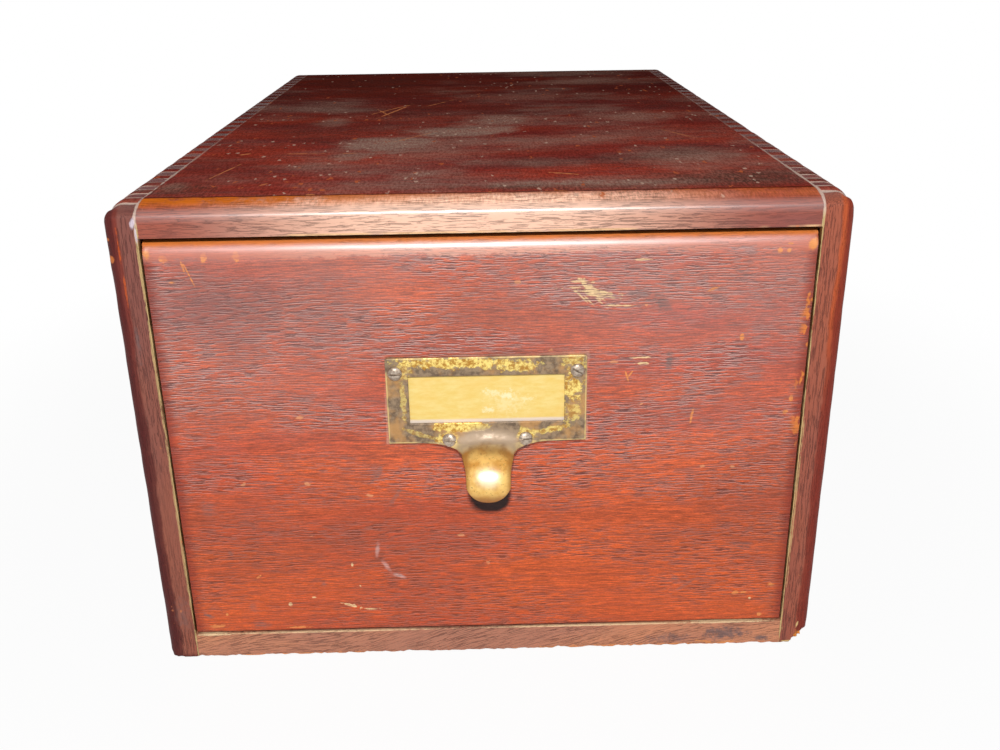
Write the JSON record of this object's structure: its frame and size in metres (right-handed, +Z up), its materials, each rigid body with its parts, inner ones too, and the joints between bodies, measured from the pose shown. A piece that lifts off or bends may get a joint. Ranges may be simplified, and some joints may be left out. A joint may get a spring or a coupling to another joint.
{
  "type": "index card drawer",
  "caption": "Wooden desk cabinet with finger-jointed corners and a drawer for index cards, with a brass label holder and pull.",
  "frame": {"origin": "Middle of the case's underside, on the surface that it stands on.", "axes": "+Z up; the drawer faces -Y and pulls out along -Y; +X to the right seen from the front."},
  "size_m": [0.25, 0.4048, 0.1793],
  "materials": {
    "case_wood": "red-brown stained oak, worn shellac",
    "front_wood": "red-brown stained oak, worn shellac",
    "plain_wood": "unstained, lightly sealed",
    "brass": "tarnished stamped sheet",
    "steel": "dull nickel",
    "card": "yellowed card stock"
  },
  "bodies": {
    "case": {"left_side": "case_wood", "right_side": "case_wood", "top_board": "case_wood", "bottom_board": "case_wood", "back_panel": "plain_wood", "back_brads": "steel", "stop_screw": "steel"},
    "stop": {"stop_button": "plain_wood"},
    "drawer": {"drawer_front": "front_wood", "drawer_left_side": "plain_wood", "drawer_right_side": "plain_wood", "drawer_back": "plain_wood", "drawer_bottom": "plain_wood", "label_holder": "brass", "holder_screws": "steel"},
    "card": {"label_card": "card"},
    "follower": {"follower_plate": "plain_wood", "follower_foot": "plain_wood", "foot_brads": "steel", "clamp_bolt": "steel", "clamp_shoe": "steel", "clamp_pad": "steel", "clamp_pin": "steel"},
    "lever": {"clamp_lever": "steel"}
  },
  "joints": [
    {"name": "drawer_slide", "type": "slide", "parent": "case", "child": "drawer", "axis": [0, -1, 0], "range_m": [0, 0.31]},
    {"name": "stop_turn", "type": "hinge", "parent": "case", "child": "stop", "pos_m": [0, -0.15819, 0.1645], "axis": [0, 0, 1], "range_deg": [0, 90]},
    {"name": "card_lift", "type": "slide", "parent": "drawer", "child": "card", "axis": [0, 0, 1], "range_m": [0, 0.0265]},
    {"name": "follower_slide", "type": "slide", "parent": "drawer", "child": "follower", "axis": [0, 1, 0], "range_m": [-0.215, 0.018]},
    {"name": "lever_turn", "type": "hinge", "parent": "follower", "child": "lever", "pos_m": [0, 0.11638, 0.0516], "axis": [1, 0, 0], "range_deg": [0, 90]}
  ]
}
